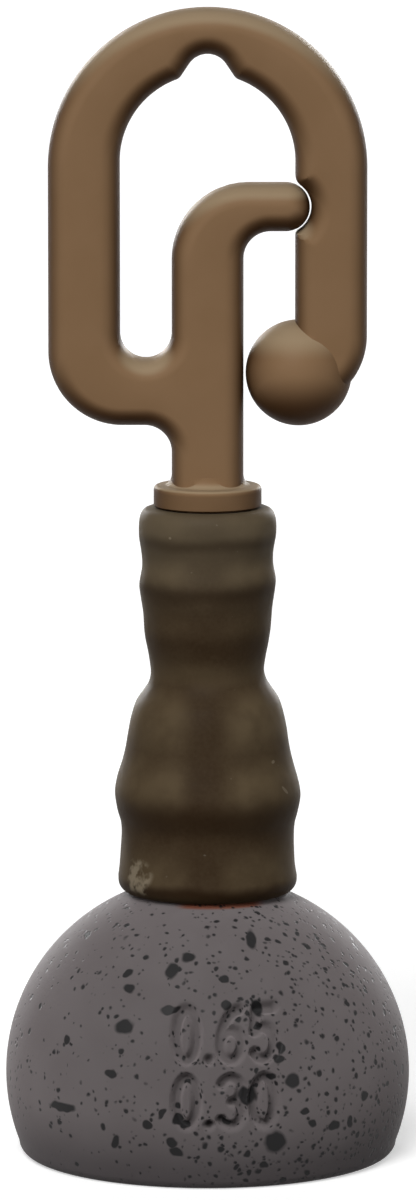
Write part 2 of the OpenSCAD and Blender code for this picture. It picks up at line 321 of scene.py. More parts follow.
def distance_to(part, points):
    """How far each point is from one stretch of the outline."""
    if part["kind"] == "line":
        along = part["to"] - part["from"]
        t = np.clip((points - part["from"]) @ along / (along @ along), 0, 1)[:, None]
        return np.linalg.norm(points - part["from"] - t * along, axis=1)
    away = points - part["centre"]
    reach = np.linalg.norm(away, axis=1)
    low, high = sorted((part["start"], part["stop"]))
    turn = (np.degrees(np.arctan2(away[:, 1], away[:, 0])) - low) % 360
    ends = [
        np.linalg.norm(
            away - part["r"] * np.array([math.cos(math.radians(a)), math.sin(math.radians(a))]),
            axis=1,
        )
        for a in (low, high)
    ]
    return np.where(turn <= high - low, np.abs(reach - part["r"]), np.minimum(*ends))


def edge_distance(outline, points):
    found = [distance_to(part, points) for part in outline if part["kind"] != "seam"]
    return np.min(found, axis=0)


ROUND_ROWS = 12
ROUND_TURNS = [math.pi / 2 * k / ROUND_ROWS for k in range(1, ROUND_ROWS + 1)]
INSETS = [EDGE_ROUND * (1 - math.cos(a)) for a in ROUND_TURNS]
OUTLINE_STEP = 0.24
INSET_KEPT = 0.985  # a row's point is dropped where it lies nearer to the outline than this share
POINT_GRID = 0.02
ON_OUTLINE = 0.001


def plate(name, outline):
    """Closed plate of the bar's thickness, with its edges rounded towards both faces."""
    step = OUTLINE_STEP
    border = np.concatenate([trace(part, 0, step) for part in outline])
    border_count = len(border)
    inside = []
    for inset in INSETS:
        for part in outline:
            if part["kind"] == "seam":
                continue
            row = trace(part, inset, step)
            if len(row) == 0:
                continue
            keep = edge_distance(outline, row) >= inset * INSET_KEPT
            inside.append(row[keep])
    inside = np.concatenate(inside)
    taken = set()
    points = []
    for p in np.concatenate([border, inside]):
        key = (round(p[0] / POINT_GRID), round(p[1] / POINT_GRID))
        if key in taken and len(points) >= border_count:
            continue
        taken.add(key)
        points.append(Vector(p))
    border_edges = [(i, (i + 1) % border_count) for i in range(border_count)]
    flat, _, faces, from_input, _, _ = delaunay_2d_cdt(points, border_edges, [], 1, 1e-5)
    flat = np.array([tuple(p) for p in flat])
    where = {}
    for made, sources in enumerate(from_input):
        for source in sources:
            where[source] = made
    loop = [where[i] for i in range(border_count)]
    inset = np.minimum(edge_distance(outline, flat), EDGE_ROUND)
    inset[loop] = np.where(inset[loop] < ON_OUTLINE, 0, inset[loop])
    half = SIDE_HALF + (BAR_T / 2 - SIDE_HALF) * np.sqrt(1 - (1 - inset / EDGE_ROUND) ** 2)
    count = len(flat)
    front = np.stack([flat[:, 0], -half, flat[:, 1]], 1)
    back = np.stack([flat[:, 0], half, flat[:, 1]], 1)
    skins = [tuple(f) for f in faces]
    skins += [tuple(i + count for i in reversed(f)) for f in faces]
    for i, a in enumerate(loop):
        b = loop[(i + 1) % len(loop)]
        skins.append((a, a + count, b + count, b))
    return new_piece(name, np.concatenate([front, back]), skins)


def on_arch(z, r, degrees):
    """Point of an arch of radius r about (0, z)."""
    a = math.radians(degrees)
    return np.array([r * math.cos(a), z + r * math.sin(a)])


def crown_seam_points():
    """Where the frame and the gate skins meet, from the inside of the crown out."""
    inner = on_arch(INNER_Z, ARCH_IN_R, CROWN_SEAM)
    outer = on_arch(ARCH_Z, ARCH_OUT_R, CROWN_SEAM)
    length = float(np.linalg.norm(outer - inner))
    steps = [0.0] + INSETS
    steps += list(np.linspace(EDGE_ROUND, length - EDGE_ROUND, 12)[1:])
    steps += [length - d for d in reversed(INSETS[:-1])] + [length]
    return [tuple(inner + (outer - inner) * d / length) for d in steps]


def lip_round(start, way, middle, r, lip_r):
    """Round that leads from a straight stretch onto the hollow arc about middle.

    Gives its two ends, its centre, and its first and last angle.
    """
    way = np.array(way) / np.linalg.norm(way)
    left = np.array([-way[1], way[0]])
    base = np.array(start) + left * lip_r - middle
    along = base @ way
    go = -along - math.sqrt(along ** 2 - base @ base + (r + lip_r) ** 2)
    centre = base + way * go + middle
    first = centre - left * lip_r
    last = middle + (centre - middle) * r / (r + lip_r)
    turns = [math.degrees(math.atan2(*(p - centre)[::-1])) % 360 for p in (first, last)]
    return first, last, centre, turns[0], turns[1]


def frame_outline():
    corner_x = -ARCH_OUT_R + CORNER_R
    corner_z = SLOT_Z - SLOT_R - FLOOR_T + CORNER_R
    floor_z = corner_z - CORNER_R
    fillet_x = -STEM_R - INSIDE_R
    fillet_z = floor_z - INSIDE_R
    foot_z = CLIP_Z - STEM_SUNK
    bend_x = HOOK_BEND_R - STEM_R
    bend_z = HOOK_Z + TIP_R - HOOK_BEND_R
    hollow_x = STEM_R + INSIDE_R
    hollow_z = HOOK_Z - TIP_R - INSIDE_R
    foot = [-STEM_R] + [-STEM_R + d for d in INSETS]
    foot = foot + [-x for x in reversed(foot)]
    return [
        arc(0, ARCH_Z, ARCH_OUT_R, CROWN_SEAM, 180),
        line(-ARCH_OUT_R, ARCH_Z, -ARCH_OUT_R, corner_z),
        arc(corner_x, corner_z, CORNER_R, 180, 270),
        line(corner_x, floor_z, fillet_x, floor_z),
        arc(fillet_x, fillet_z, INSIDE_R, 90, 0),
        line(-STEM_R, fillet_z, -STEM_R, foot_z),
        seam([(x, foot_z) for x in foot]),
        line(STEM_R, foot_z, STEM_R, hollow_z),
        arc(hollow_x, hollow_z, INSIDE_R, 180, 90),
        line(hollow_x, HOOK_Z - TIP_R, TIP_X, HOOK_Z - TIP_R),
        arc(TIP_X, HOOK_Z, TIP_R, -90, 90),
        line(TIP_X, HOOK_Z + TIP_R, bend_x, HOOK_Z + TIP_R),
        arc(bend_x, bend_z, HOOK_BEND_R, 90, 180),
        line(-STEM_R, bend_z, -STEM_R, SLOT_Z),
        arc(SLOT_X, SLOT_Z, SLOT_R, 0, -180),
        line(-ARCH_IN_R, SLOT_Z, -ARCH_IN_R, INNER_Z),
        arc(0, INNER_Z, ARCH_IN_R, 180, CROWN_SEAM),
        seam(crown_seam_points()),
    ]


def gate_outline():
    lean = math.radians(NOTCH_LEAN)
    touch_x = NOTCH_R * math.cos(lean)
    touch_z = NOTCH_Z + NOTCH_R * math.sin(lean)
    flank = (math.sin(lean), -math.cos(lean))
    first, last, centre, turn_a, turn_b = lip_round(
        (touch_x, touch_z), flank, np.array([0, INNER_Z]), ARCH_IN_R, NOTCH_LIP
    )
    lip_end = math.degrees(math.atan2(last[1] - INNER_Z, last[0]))
    # both lips of the recess are worked out above its middle, and the lower one is then mirrored
    bites = []
    for lip_r in (UPPER_LIP, LOWER_LIP):
        face, bite, round_at, face_turn, bite_turn = lip_round(
            (ARCH_IN_R, ARCH_Z), (0, -1), np.array([RECESS_X, HOOK_Z]), RECESS_R, lip_r
        )
        bite_end = math.degrees(math.atan2(bite[1] - HOOK_Z, bite[0] - RECESS_X))
        bites.append((face[1], round_at[0], round_at[1], face_turn, bite_turn, bite_end))
    upper, lower = bites
    end_x = ARCH_OUT_R - CORNER_R
    end_turn = math.radians(-ARM_END_TURN)
    arm_end = (end_x + CORNER_R * math.cos(end_turn), ARM_END_Z + CORNER_R * math.sin(end_turn))
    inner_end = (ARCH_IN_R, ARM_END_Z)
    across = np.array(arm_end) - inner_end
    cut = [tuple(inner_end + across * t) for t in np.linspace(0, 1, ARM_CUT_POINTS)]
    return [
        seam(cut),
        arc(end_x, ARM_END_Z, CORNER_R, -ARM_END_TURN, 0),
        line(ARCH_OUT_R, ARM_END_Z, ARCH_OUT_R, ARCH_Z),
        arc(0, ARCH_Z, ARCH_OUT_R, 0, CROWN_SEAM),
        seam(crown_seam_points()[::-1]),
        arc(0, INNER_Z, ARCH_IN_R, CROWN_SEAM, 180 - lip_end),
        arc(-centre[0], centre[1], NOTCH_LIP, 180 - turn_b, 180 - turn_a),
        line(-first[0], first[1], -touch_x, touch_z),
        arc(0, NOTCH_Z, NOTCH_R, 180 - NOTCH_LEAN, NOTCH_LEAN),
        line(touch_x, touch_z, *first),
        arc(*centre, NOTCH_LIP, turn_a, turn_b),
        arc(0, INNER_Z, ARCH_IN_R, lip_end, 0),
        line(ARCH_IN_R, INNER_Z, ARCH_IN_R, upper[0]),
        arc(upper[1], upper[2], UPPER_LIP, upper[3], upper[4]),
        arc(RECESS_X, HOOK_Z, RECESS_R, upper[5], -lower[5]),
        arc(lower[1], 2 * HOOK_Z - lower[2], LOWER_LIP, -lower[4], -lower[3]),
        line(ARCH_IN_R, 2 * HOOK_Z - lower[0], *inner_end),
    ]


# ---- Node helpers ----


def add_node(tree, kind, **settings):
    node = tree.nodes.new(kind)
    for key, value in settings.items():
        setattr(node, key, value)
    return node


def feed(tree, socket, value):
    if isinstance(value, bpy.types.NodeSocket):
        tree.links.new(value, socket)
    else:
        socket.default_value = value


def calc(tree, operation, a, b=None, clamp=False):
    node = add_node(tree, "ShaderNodeMath", operation=operation, use_clamp=clamp)
    feed(tree, node.inputs[0], a)
    if b is not None:
        feed(tree, node.inputs[1], b)
    return node.outputs[0]


def vector(tree, operation, a, b=None, scale=None):
    node = add_node(tree, "ShaderNodeVectorMath", operation=operation)
    feed(tree, node.inputs[0], a)
    if b is not None:
        feed(tree, node.inputs[1], b)
    if scale is not None:
        feed(tree, node.inputs["Scale"], scale)
    return node.outputs["Value" if operation in ("LENGTH", "DOT_PRODUCT") else "Vector"]


def rise(tree, value, low, high, to_low=0.0, to_high=1.0):
    """Smooth rise from to_low to to_high as value goes from low to high."""
    node = add_node(tree, "ShaderNodeMapRange", interpolation_type="SMOOTHSTEP")
    for name, number in (("Value", value), ("From Min", low), ("From Max", high),
                         ("To Min", to_low), ("To Max", to_high)):
        feed(tree, node.inputs[name], number)
    return node.outputs["Result"]


def colour_mix(tree, share, a, b):
    node = add_node(tree, "ShaderNodeMix", data_type="RGBA")
    feed(tree, node.inputs["Factor"], share)
    for name, value in (("A", a), ("B", b)):
        socket = [s for s in node.inputs if s.name == name and s.type == "RGBA"][0]
        feed(tree, socket, value if isinstance(value, bpy.types.NodeSocket) else (*value, 1))
    return [s for s in node.outputs if s.type == "RGBA"][0]


def noise_at(tree, place, scale, detail=2.0, roughness=0.5, output="Fac"):
    node = add_node(tree, "ShaderNodeTexNoise")
    feed(tree, node.inputs["Vector"], place)
    node.inputs["Scale"].default_value = scale
    node.inputs["Detail"].default_value = detail
    node.inputs["Roughness"].default_value = roughness
    return node.outputs[output]


def place_mm(tree):
    """The surface's own place on the part, in millimetres."""
    place = add_node(tree, "ShaderNodeTexCoord").outputs["Object"]
    return vector(tree, "SCALE", place, scale=1 / MM)


def split(tree, value):
    """The X, Y and Z of a vector."""
    node = add_node(tree, "ShaderNodeSeparateXYZ")
    feed(tree, node.inputs["Vector"], value)
    return [node.outputs[axis] for axis in "XYZ"]


def new_group(name, inputs, outputs):
    tree = bpy.data.node_groups.new(name, "ShaderNodeTree")
    for label, kind in inputs:
        tree.interface.new_socket(name=label, in_out="INPUT", socket_type="NodeSocket" + kind)
    for label, kind in outputs:
        tree.interface.new_socket(name=label, in_out="OUTPUT", socket_type="NodeSocket" + kind)
    return tree, tree.nodes.new("NodeGroupInput").outputs, tree.nodes.new("NodeGroupOutput").inputs


def use_group(tree, group, **values):
    node = add_node(tree, "ShaderNodeGroup", node_tree=group)
    for label, value in values.items():
        feed(tree, node.inputs[label.replace("_", " ")], value)
    return node.outputs


def new_material(name):
    material = bpy.data.materials.new(name)
    material.use_nodes = True
    tree = material.node_tree
    return material, tree, tree.nodes["Principled BSDF"]


def bump(tree, shader, height, distance):
    """Fine relief, distance millimetres for a height of 1."""
    node = add_node(tree, "ShaderNodeBump")
    node.inputs["Strength"].default_value = 1.0
    node.inputs["Distance"].default_value = distance * MM
    feed(tree, node.inputs["Height"], height)
    tree.links.new(node.outputs["Normal"], shader.inputs["Normal"])


# ---- Effects that several finishes use ----

FLECK_POWER = 1.8  # the higher it is, the fewer flecks are big
LEAST_FLECK = 0.4  # radius of the smallest fleck, as a share of the biggest
SPLAT_FULL = 0.78  # a splash is full to this share of its half width, and gone at the next
SPLAT_GONE = 1.18


def make_grain():
    """Fine unevenness of a moulded or painted surface."""
    tree, given, out = new_group(
        "fine_grain",
        [("Place", "Vector"), ("Size", "Float")],
        [("Height", "Float"), ("Tone", "Float")],
    )
    place = vector(tree, "SCALE", given["Place"], scale=calc(tree, "DIVIDE", 1.0, given["Size"]))
    feed(tree, out["Height"], noise_at(tree, place, 1.0, 3.0, 0.6))
    feed(tree, out["Tone"], noise_at(tree, place, 0.11, 2.0, 0.5))
    return tree


def make_flecks():
    """Scattered irregular flecks, at most one in each cell, most of them small."""
    tree, given, out = new_group(
        "scattered_flecks",
        [("Place", "Vector"), ("Cell", "Float"), ("Biggest", "Float"), ("Share", "Float"),
         ("Softness", "Float")],
        [("Mask", "Float")],
    )
    place = vector(tree, "SCALE", given["Place"], scale=calc(tree, "DIVIDE", 1.0, given["Cell"]))
    cells = add_node(tree, "ShaderNodeTexVoronoi", feature="F1", distance="EUCLIDEAN")
    feed(tree, cells.inputs["Vector"], place)
    cells.inputs["Scale"].default_value = 1.0
    cells.inputs["Randomness"].default_value = 1.0
    dice = add_node(tree, "ShaderNodeSeparateColor")
    feed(tree, dice.inputs["Color"], cells.outputs["Color"])
    reach = calc(tree, "POWER", dice.outputs["Red"], FLECK_POWER)
    reach = calc(tree, "ADD", calc(tree, "MULTIPLY", reach, 1 - LEAST_FLECK), LEAST_FLECK)
    reach = calc(tree, "MULTIPLY", reach, given["Biggest"])
    there = calc(tree, "LESS_THAN", dice.outputs["Green"], given["Share"])
    gap = calc(tree, "MULTIPLY", cells.outputs["Distance"], given["Cell"])
    short = calc(tree, "SUBTRACT", gap, reach)
    inside = rise(tree, short, calc(tree, "MULTIPLY", given["Softness"], -1.0), given["Softness"],
                  1.0, 0.0)
    feed(tree, out["Mask"], calc(tree, "MULTIPLY", inside, there))
    return tree


def make_splat():
    """One round or long splash, seen straight on from the front."""
    tree, given, out = new_group(
        "single_splat",
        [("Place", "Vector"), ("Centre", "Vector"), ("Stretch", "Vector"), ("Turn", "Float")],
        [("Mask", "Float")],
    )
    away = vector(tree, "SUBTRACT", given["Place"], given["Centre"])
    turn = add_node(tree, "ShaderNodeVectorRotate", rotation_type="Y_AXIS")
    feed(tree, turn.inputs["Vector"], away)
    feed(tree, turn.inputs["Angle"], given["Turn"])
    away = vector(tree, "MULTIPLY", turn.outputs["Vector"], given["Stretch"])
    reach = vector(tree, "LENGTH", away)
    feed(tree, out["Mask"], rise(tree, reach, SPLAT_FULL, SPLAT_GONE, 1.0, 0.0))
    return tree


grain = make_grain()
flecks = make_flecks()
splat = make_splat()


def jittered(tree, place, size, amount):
    """The place, pushed about so that round marks come out ragged."""
    push = noise_at(tree, place, 1.0 / size, 0.0, 0.5, "Color")
    push = vector(tree, "SUBTRACT", push, (0.5, 0.5, 0.5))
    return vector(tree, "ADD", place, vector(tree, "SCALE", push, scale=amount))


def add_splats(tree, mask, place, shown, shapes):
    """The mask with these splashes added, each as strong as shown."""
    for x, z, half_w, half_h, turn in shapes:
        one = use_group(tree, splat, Place=place, Centre=(x, 0.0, z),
                        Stretch=(1 / half_w, 0.0, 1 / half_h), Turn=math.radians(turn))["Mask"]
        mask = calc(tree, "MAXIMUM", mask, calc(tree, "MULTIPLY", one, shown))
    return mask


# ---- Colours of the finishes, as linear red, green and blue ----

PAINT_TONES = (0.136, 0.119, 0.120), (0.146, 0.129, 0.130)
PAINTED_BASE_SHADE = (0.010, 0.009, 0.011)
RUST = (0.15, 0.034, 0.008)
FLECK_BLACK = (0.012, 0.012, 0.0125)
RUBBER_TONES = (0.035, 0.0213, 0.0104), (0.0445, 0.0288, 0.0152)
SIDE_HIGHLIGHT_RUBBER = (0.104, 0.075, 0.042)
TOP_LIGHT_RUBBER = (0.140, 0.112, 0.073)
PAINTED_CREASE_SHADE = (0.014, 0.0062, 0.0020)
SCUFFED_RUBBER = (0.22, 0.18, 0.125)
DUST = (0.25, 0.22, 0.17)
PLASTIC_TONES = (0.210, 0.125, 0.064), (0.220, 0.132, 0.069)
EDGE_SHADE_PLASTIC = (0.052, 0.022, 0.0075)
TOP_HIGHLIGHT_PLASTIC = (0.300, 0.222, 0.138)
FLANGE_SHADE_PLASTIC = (0.040, 0.020, 0.008)
WIRE_STEEL = (0.55, 0.56, 0.58)
BARREL_BRASS = (0.60, 0.46, 0.22)
PIN_STEEL = (0.50, 0.50, 0.52)

# ---- Finishes ----

# Splashes on the front of the dome: x, z, half width, half height, turn in degrees
SPLATS = [
    (6.5, 4.7, 1.06, 1.06, 0), (3.8, 9.3, 0.92, 0.92, 0), (-3.6, 17.2, 0.97, 0.39, 10),
    (4.7, 17.3, 0.53, 0.87, 20), (8.1, 10.6, 0.68, 0.68, 0), (1.8, 17.7, 0.43, 0.43, 0),
    (-2.8, 7.0, 0.53, 0.53, 0), (-2.2, 6.5, 0.58, 0.34, 0), (-3.4, 4.8, 0.53, 0.53, 0),
    (-3.0, 3.9, 0.77, 0.43, -15), (-4.3, 7.7, 0.29, 0.58, -35), (7.0, 13.7, 0.43, 0.58, 10),
    (6.8, 12.7, 0.58, 0.39, 0), (4.8, 15.6, 0.39, 0.39, 0), (6.0, 11.0, 0.48, 0.39, 0),
    (-13.9, 7.2, 1.21, 0.48, 0), (-7.9, 15.5, 0.92, 0.63, 20), (-3.4, 20.6, 0.58, 0.72, -30),
    (-1.8, 21.7, 0.68, 0.39, 5), (4.2, 23.0, 0.48, 0.77, 25), (12.1, 5.7, 0.58, 0.48, 0),
    (13.6, 5.8, 0.29, 0.58, 0), (9.2, 7.5, 0.48, 0.34, 0), (10.0, 6.2, 0.39, 0.48, 0),
    (-9.3, 11.1, 0.58, 0.43, 0), (-7.5, 18.8, 0.58, 0.39, 0), (-8.8, 4.5, 0.39, 0.68, -10),
    (15.0, 8.0, 0.39, 0.48, 0),
]
# Layers of flecks: width of a cell, radius of the biggest fleck, share of cells that hold one
FLECK_LAYERS = [(1.9, 0.5, 0.45), (0.95, 0.33, 0.85), (0.6, 0.22, 0.6)]
LAYER_SHIFT = Vector((17.0, 5.0, 11.0))  # keeps one layer's cells off those of the next
FLECK_COVER = 0.95
STAIN_X = 1.2
STAIN_FROM_Z = 25.25
STAIN_FULL_Z = 25.45


def lead_paint():
    """Matt paint with black flecks and splashes, painted shade towards the base, and rusty under
    the sleeve.
    """
    material, tree, shader = new_material("lead_paint")
    place = place_mm(tree)
    x, y, z = split(tree, place)
    fine = use_group(tree, grain, Place=place, Size=0.55)
    ragged = jittered(tree, place, 0.8, 0.4)
    # more flecks to the right, and more in some patches than in others
    right = rise(tree, x, -8.0, 8.0, 0.5, 1.0)
    patchy = rise(tree, noise_at(tree, place, 0.16), 0.32, 0.66, 0.5, 1.25)
    patchy = calc(tree, "MULTIPLY", right, patchy)
    marks = None
    for number, (cell, biggest, share) in enumerate(FLECK_LAYERS):
        shifted = vector(tree, "ADD", ragged, LAYER_SHIFT * number)
        mask = use_group(tree, flecks, Place=shifted, Cell=cell, Biggest=biggest,
                         Share=calc(tree, "MULTIPLY", patchy, share), Softness=0.09)["Mask"]
        marks = mask if marks is None else calc(tree, "MAXIMUM", marks, mask)
    front = calc(tree, "LESS_THAN", y, 0.0)
    marks = add_splats(tree, marks, ragged, front, SPLATS)
    paint = colour_mix(tree, rise(tree, fine["Tone"], 0.3, 0.7), *PAINT_TONES)
    # painted shade: the paint is darker towards the rim of the base
    paint = colour_mix(tree, rise(tree, z, -1.0, BELLY_Z, 0.62, 0.0), paint, PAINTED_BASE_SHADE)
    # rust-red stain at the front, where water creeps out under the lip of the sleeve
    aside = calc(tree, "ABSOLUTE", calc(tree, "SUBTRACT", x, STAIN_X))
    damp = calc(tree, "MULTIPLY", rise(tree, z, STAIN_FROM_Z, STAIN_FULL_Z),
                rise(tree, aside, 3.0, 4.6, 0.8, 0.0))
    paint = colour_mix(tree, calc(tree, "MULTIPLY", damp, front), paint, RUST)
    paint = colour_mix(tree, calc(tree, "MULTIPLY", marks, FLECK_COVER), paint, FLECK_BLACK)
    feed(tree, shader.inputs["Base Color"], paint)
    feed(tree, shader.inputs["Roughness"], rise(tree, marks, 0.0, 1.0, 0.7, 0.5))
    shader.inputs["Specular IOR Level"].default_value = 0.12
    shader.inputs["Diffuse Roughness"].default_value = 1.0
    height = calc(tree, "SUBTRACT", calc(tree, "MULTIPLY", fine["Height"], 0.35), marks)
    bump(tree, shader, height, distance=0.045)
    return material


# Bands round the sleeve: height of the middle, half width and strength. The creases get painted
# shade, the swells get painted highlights at the sides, and the waist gets a painted highlight all
# round.
SHADED_CREASES = [
    (60.2, 1.1, 0.42), (55.4, 1.3, 0.46), (50.6, 1.6, 0.3), (34.0, 2.6, 0.62), (26.7, 1.0, 0.8),
]
HIGHLIT_SWELLS = [
    (61.9, 2.1, 1.0), (57.5, 1.9, 1.0), (52.3, 2.6, 0.35), (43.3, 5.2, 1.0), (37.4, 5.0, 0.9),
    (28.6, 3.6, 0.75),
]
HIGHLIT_WAIST = [(47.5, 1.9, 0.4)]
# Pale nicks in the sleeve: x, z, half width, half height, turn in degrees
NICKS = [(7.45, 36.4, 0.11, 0.5, 35), (6.3, 39.2, 0.16, 0.16, 0), (-3.6, 61.0, 0.13, 0.13, 0)]
NICK_STRENGTH = 0.6
SCUFF_AT = (-6.6, -5.3, 28.0)
SCUFF_COVER = 0.85
DUST_COVER = 0.3


def bands(tree, height, rings):
    """Mask of soft rings at the given heights."""
    mask = None
    for middle, half, strength in rings:
        off = calc(tree, "ABSOLUTE", calc(tree, "SUBTRACT", height, middle))
        ring = rise(tree, off, 0.0, half, strength, 0.0)
        mask = ring if mask is None else calc(tree, "MAXIMUM", mask, ring)
    return mask


def sleeve_rubber():
    """Dull olive-brown rubber: painted shade in its creases, painted highlights on its swells and
    waist, and painted light towards the top.
    """
    material, tree, shader = new_material("sleeve_rubber")
    place = place_mm(tree)
    x, y, z = split(tree, place)
    fine = use_group(tree, grain, Place=place, Size=0.4)
    tone = calc(tree, "MULTIPLY", calc(tree, "ADD", fine["Tone"], fine["Height"]), 0.5)
    rubber = colour_mix(tree, rise(tree, tone, 0.36, 0.64), *RUBBER_TONES)
    # the bands wander a little up and down
    sway = calc(tree, "MULTIPLY", calc(tree, "SUBTRACT", noise_at(tree, place, 0.25), 0.5), 1.2)
    wavy = calc(tree, "ADD", z, sway)
    # painted highlights: soft upright bands at both sides of the swells, and a band all round the
    # waist
    aside = calc(tree, "MAXIMUM", rise(tree, x, 0.4, 3.8), rise(tree, x, -3.4, -0.8, 0.75, 0.0))
    uneven = rise(tree, noise_at(tree, place, 0.35, 3.0), 0.3, 0.65, 0.6, 1.0)
    side_highlight = calc(tree, "MULTIPLY", calc(tree, "MULTIPLY", aside, uneven),
                  bands(tree, wavy, HIGHLIT_SWELLS))
    side_highlight = calc(tree, "MAXIMUM", side_highlight, bands(tree, wavy, HIGHLIT_WAIST))
    rubber = colour_mix(tree, side_highlight, rubber, SIDE_HIGHLIGHT_RUBBER)
    # painted light: paler towards the top of the sleeve
    rubber = colour_mix(tree, rise(tree, z, 51.0, 62.5, 0.0, 0.45), rubber, TOP_LIGHT_RUBBER)
    # painted shade in the creases
    rubber = colour_mix(tree, bands(tree, wavy, SHADED_CREASES), rubber, PAINTED_CREASE_SHADE)
    # scuffed patch by the lip, nicks, and specks of dust
    shaken = jittered(tree, place, 1.1, 1.0)
    near = vector(tree, "LENGTH", vector(tree, "SUBTRACT", shaken, SCUFF_AT))
    scuff = calc(tree, "MULTIPLY", rise(tree, near, 1.1, 2.1, 1.0, 0.0),
                 rise(tree, noise_at(tree, place, 0.95, 2.0, 0.6), 0.38, 0.62))
    nicked = calc(tree, "MULTIPLY", calc(tree, "LESS_THAN", y, 0.0), NICK_STRENGTH)
    scuff = add_splats(tree, scuff, place, nicked, NICKS)
    rubber = colour_mix(tree, calc(tree, "MULTIPLY", scuff, SCUFF_COVER), rubber, SCUFFED_RUBBER)
    dust = use_group(tree, flecks, Place=jittered(tree, place, 0.5, 0.25), Cell=1.7, Biggest=0.12,
                     Share=0.6, Softness=0.06)["Mask"]
    rubber = colour_mix(tree, calc(tree, "MULTIPLY", dust, DUST_COVER), rubber, DUST)
    feed(tree, shader.inputs["Base Color"], rubber)
    feed(tree, shader.inputs["Roughness"], rise(tree, fine["Height"], 0.3, 0.7, 0.5, 0.58))
    shader.inputs["Specular IOR Level"].default_value = 0.04
    height = calc(tree, "ADD", calc(tree, "MULTIPLY", fine["Height"], 0.4), scuff)
    bump(tree, shader, height, distance=0.012)
    return material


def clip_plastic():
    """Satin moulded brown, with painted shade on its sides and undersides and a painted highlight
    on its tops.
    """
    material, tree, shader = new_material("clip_plastic")
    place = place_mm(tree)
    fine = use_group(tree, grain, Place=place, Size=0.5)
    colour = colour_mix(tree, rise(tree, fine["Tone"], 0.3, 0.7), *PLASTIC_TONES)
    normal = add_node(tree, "ShaderNodeTexCoord").outputs["Normal"]
    _, facing_y, facing_z = split(tree, normal)
    # painted shade: darker on the sides of the bars and on the undersides
    edge_shade = rise(tree, calc(tree, "ABSOLUTE", facing_y), 0.1, 0.97, 0.95, 0.0)
    edge_shade = calc(tree, "MAXIMUM", edge_shade, rise(tree, facing_z, -0.65, 0.1, 0.9, 0.0))
    colour = colour_mix(tree, edge_shade, colour, EDGE_SHADE_PLASTIC)
    # painted highlight: paler on surfaces that face upwards
    top_highlight = calc(tree, "MULTIPLY", rise(tree, facing_z, 0.3, 0.72, 0.0, 0.9),
                 rise(tree, facing_z, 0.85, 1.0, 1.0, 0.85))
    colour = colour_mix(tree, top_highlight, colour, TOP_HIGHLIGHT_PLASTIC)
    # painted shade on the side of the flange, under its top edge
    z = split(tree, place)[2]
    flange_shade = rise(tree, z, CLIP_Z - 0.6, CLIP_Z - 0.2, 0.35, 0.0)
    colour = colour_mix(tree, flange_shade, colour, FLANGE_SHADE_PLASTIC)
    feed(tree, shader.inputs["Base Color"], colour)
    feed(tree, shader.inputs["Roughness"], rise(tree, fine["Height"], 0.3, 0.7, 0.5, 0.55))
    shader.inputs["Specular IOR Level"].default_value = 0.06
    bump(tree, shader, fine["Height"], distance=0.004)
    return material


DULL_SHARE = 0.7  # how bright the dull patches of a metal are
ROUGHER = 0.14  # how much rougher the drawn lines of a metal get


def drawn_metal(name, colour, roughness, stretch):
    """Metal with fine lines drawn along it."""
    material, tree, shader = new_material(name)
    place = place_mm(tree)
    lines = noise_at(tree, vector(tree, "MULTIPLY", place, stretch), 1.0, 4.0, 0.6)
    fine = use_group(tree, grain, Place=place, Size=0.6)
    dull = tuple(c * DULL_SHARE for c in colour)
    feed(tree, shader.inputs["Base Color"],
         colour_mix(tree, rise(tree, fine["Tone"], 0.35, 0.65), dull, colour))
    feed(tree, shader.inputs["Roughness"],
         rise(tree, lines, 0.3, 0.7, roughness, roughness + ROUGHER))
    shader.inputs["Metallic"].default_value = 1.0
    bump(tree, shader, lines, distance=0.008)
    return material


paint = lead_paint()
rubber = sleeve_rubber()
plastic = clip_plastic()
METALS = {
    "wire_eye": drawn_metal("steel_wire", WIRE_STEEL, 0.26, (9.0, 9.0, 0.8)),
    "swivel_barrel": drawn_metal("swivel_brass", BARREL_BRASS, 0.30, (1.0, 1.0, 12.0)),
    "clip_pin": drawn_metal("pin_steel", PIN_STEEL, 0.24, (9.0, 0.8, 9.0)),
}
METALS["swivel_lower_eye"] = METALS["wire_eye"]
METALS["swivel_upper_eye"] = METALS["wire_eye"]
for node, metal in METALS.items():
    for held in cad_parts[node].material_slots:
        held.material = metal

# ---- Weight ----

# Strokes of the digits, in millimetres from their lower left corner, 2 wide and 4.6 tall
DIGIT_H = 4.6
DIGIT_GAP = 1.15
STROKE_HALF = 0.46
STROKE_DEPTH = 1.1
STROKE_EDGE = 0.26
ROWS = [("0.65", 15.1), ("0.30", 8.8)]  # the numbers and the heights of their middles
ROW_MIDDLE = 1.7
# Patch of the front that holds the numbers: x, y and z, each from and to
DIGIT_PATCH = [(-6, 10), (-math.inf, -8), (4, 20)]


def bowl(x, z, rx, rz, start, stop):
    turns = np.radians(np.linspace(start, stop, 25))
    return [(x + rx * math.cos(a), z + rz * math.sin(a)) for a in turns]


DIGITS = {
    "0": (2.0, [bowl(1.0, 2.3, 1.0, 2.3, 0, 360)]),
    "3": (2.0, [bowl(0.95, 3.45, 1.0, 1.15, 150, -80) + bowl(0.95, 1.2, 1.05, 1.2, 75, -150)]),
    "5": (2.0, [[(1.85, 4.6), (0.25, 4.6), (0.1, 2.55)] + bowl(0.95, 1.45, 1.05, 1.45, 125, -145)]),
    "6": (2.0, [bowl(1.0, 1.35, 1.0, 1.35, 180, -180),
                bowl(2.0, 1.35, 2.0, 3.25, 180, 95)]),
    ".": (0.0, [[(0.0, 0.05), (0.02, 0.05)]]),
}


